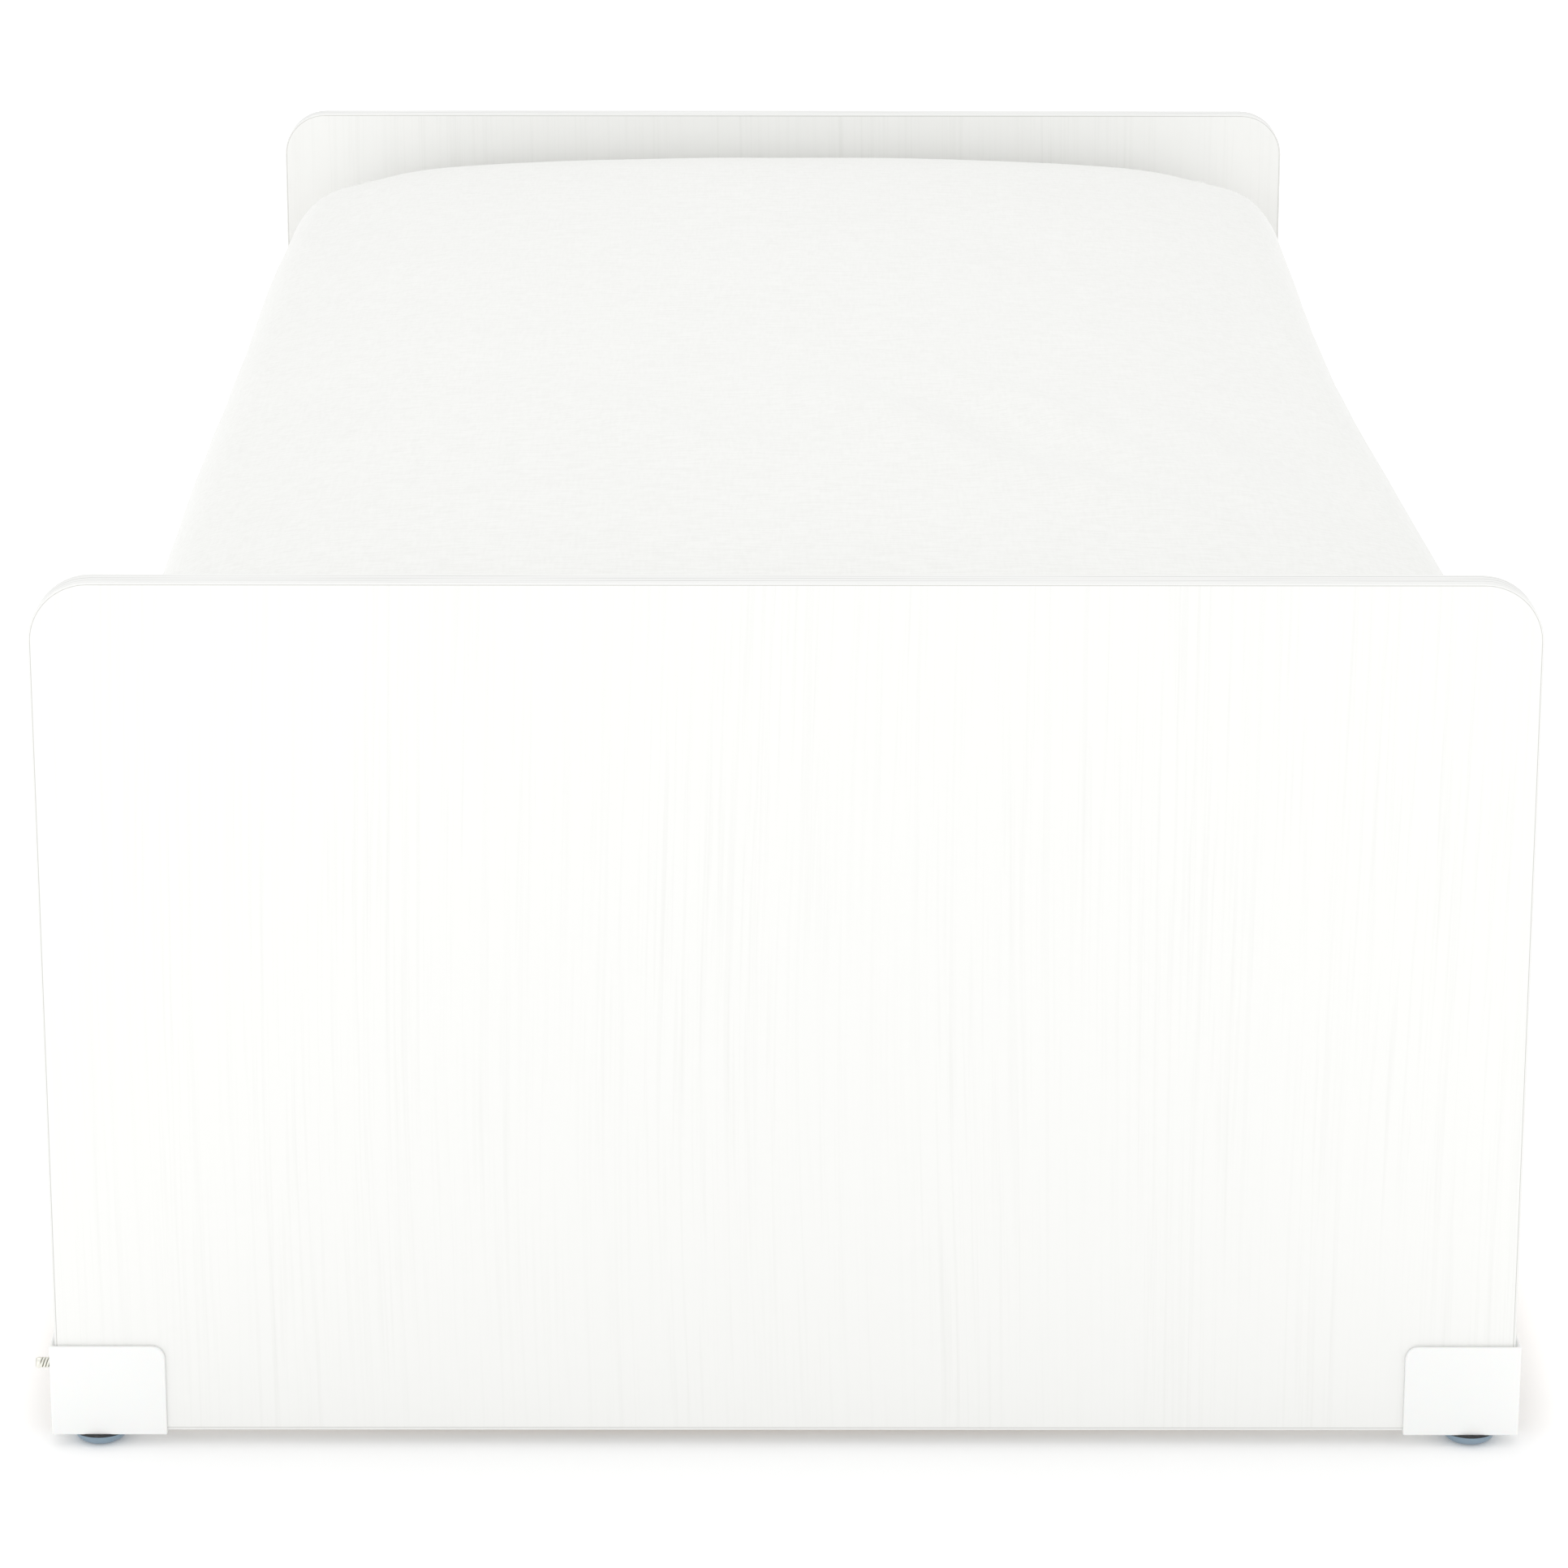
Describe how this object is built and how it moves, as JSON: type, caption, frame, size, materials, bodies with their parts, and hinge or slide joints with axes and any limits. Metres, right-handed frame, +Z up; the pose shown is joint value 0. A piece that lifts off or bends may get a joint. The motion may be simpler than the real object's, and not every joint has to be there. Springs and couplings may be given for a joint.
{
  "type": "toddler bed",
  "caption": "Low toddler bed: two white wood-grain end boards with rounded top corners on plastic corner shoes, side rails, loose slatted base and a mattress in a fitted sheet.",
  "frame": {"origin": "on the floor under the middle of the bed", "axes": "+Z up, +Y from the footboard to the headboard, +X to the right seen from the foot"},
  "size_m": [0.7536, 1.465, 0.4517],
  "materials": {
    "white_grain_laminate": "matt melamine face with a fine vertical wood grain",
    "white_grain_edging": "matt plastic edging with a printed grain along it",
    "white_shoe_plastic": "fine satin moulded plastic",
    "black_glide_seat": "matt moulded plastic",
    "blue_grey_glide": "waxy sliding plastic",
    "zinc_plated_steel": "bright zinc plating",
    "yellow_zinc_steel": "yellow zinc plating",
    "zinc_alloy": "die-cast zinc alloy",
    "pine": "planed, unvarnished",
    "beech": "turned, unvarnished",
    "webbing": "woven polyester tape",
    "foam": "open-cell foam",
    "quilted_cover": "quilted polyester ticking",
    "sheet_cotton": "plain-woven cotton with a slub"
  },
  "bodies": {
    "frame": {"footboard_panel": "white_grain_laminate", "footboard_edge_band": "white_grain_edging", "footboard_bottom_band": "white_grain_edging", "foot_glide_screws": "zinc_plated_steel", "foot_shoe_screws": "zinc_plated_steel", "foot_left_corner_shoe": "white_shoe_plastic", "foot_left_glide_cup": "black_glide_seat", "foot_left_glide_pad": "blue_grey_glide", "foot_right_corner_shoe": "white_shoe_plastic", "foot_right_glide_cup": "black_glide_seat", "foot_right_glide_pad": "blue_grey_glide", "headboard_panel": "white_grain_laminate", "headboard_edge_band": "white_grain_edging", "headboard_bottom_band": "white_grain_edging", "head_glide_screws": "zinc_plated_steel", "head_shoe_screws": "zinc_plated_steel", "head_left_corner_shoe": "white_shoe_plastic", "head_left_glide_cup": "black_glide_seat", "head_left_glide_pad": "blue_grey_glide", "head_right_corner_shoe": "white_shoe_plastic", "head_right_glide_cup": "black_glide_seat", "head_right_glide_pad": "blue_grey_glide", "left_side_rail": "white_grain_laminate", "left_rail_top_band": "white_grain_edging", "left_rail_bottom_band": "white_grain_edging", "left_slat_ledger": "pine", "left_ledger_screws": "zinc_plated_steel", "left_ledger_pins": "beech", "right_side_rail": "white_grain_laminate", "right_rail_top_band": "white_grain_edging", "right_rail_bottom_band": "white_grain_edging", "right_slat_ledger": "pine", "right_ledger_screws": "zinc_plated_steel", "right_ledger_pins": "beech", "cam_locks": "zinc_alloy", "cam_bolts": "zinc_plated_steel", "cam_cover_caps": "white_shoe_plastic", "wooden_dowels": "beech", "side_stud": "yellow_zinc_steel"},
    "slatted_base": {"slat_01": "pine", "slat_02": "pine", "slat_03": "pine", "slat_04": "pine", "slat_05": "pine", "slat_06": "pine", "slat_07": "pine", "slat_08": "pine", "slat_09": "pine", "slat_10": "pine", "slat_11": "pine", "slat_12": "pine", "slat_13": "pine", "slat_strap_left": "webbing", "slat_strap_right": "webbing", "strap_staples": "zinc_plated_steel"},
    "mattress": {"mattress_core": "foam", "mattress_cover": "quilted_cover", "fitted_sheet": "sheet_cotton"}
  },
  "joints": [
    {"name": "slatted_base_lift", "type": "slide", "parent": "frame", "child": "slatted_base", "axis": [0, 0, 1], "range_m": [0, 0.2]},
    {"name": "mattress_lift", "type": "slide", "parent": "slatted_base", "child": "mattress", "axis": [0, 0, 1], "range_m": [0, 0.25]}
  ]
}
